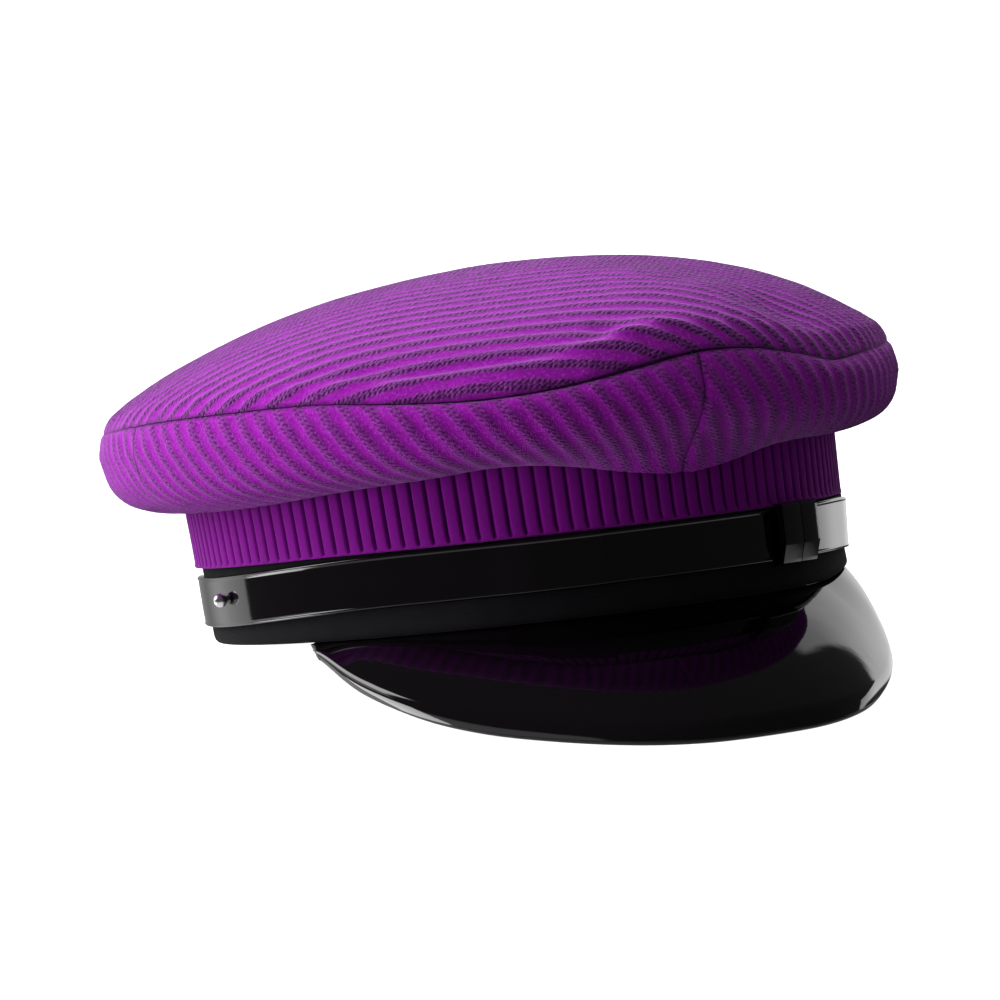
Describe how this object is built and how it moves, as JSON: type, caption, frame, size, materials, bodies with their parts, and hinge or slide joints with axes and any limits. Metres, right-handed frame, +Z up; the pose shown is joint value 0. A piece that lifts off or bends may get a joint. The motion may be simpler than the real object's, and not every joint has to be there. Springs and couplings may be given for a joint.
{
  "type": "peaked knit cap",
  "caption": "Soft knitted cap with a full stuffed crown, a ribbed knit band, a black band, a patent-leather strap with keeper and ball studs, and a patent-leather peak.",
  "frame": {"origin": "centre of the footprint, on the surface that the cap rests on", "axes": "+Z up, -Y the front with the peak, +X the wearer's left; the band is pitched 7.85 degrees, front up"},
  "size_m": [0.2214, 0.2854, 0.1125],
  "materials": {
    "knit": "two-tone zigzag jacquard knit, soft",
    "rib_knit": "plain ribbed knit, soft",
    "woven_band": "matt black woven band",
    "patent_leather": "high-gloss patent",
    "binding": "satin black leather binding",
    "polished_metal": "polished"
  },
  "bodies": {
    "root": {"crown_top": "knit", "crown_side_front_left": "knit", "crown_side_front_right": "knit", "crown_side_back_left": "knit", "crown_side_back_right": "knit", "rib_band": "rib_knit", "black_band": "woven_band", "strap_upper": "patent_leather", "strap_lower": "patent_leather", "keeper": "patent_leather", "stud_right": "polished_metal", "stud_left": "polished_metal", "visor": "patent_leather", "visor_binding": "binding"}
  },
  "joints": []
}
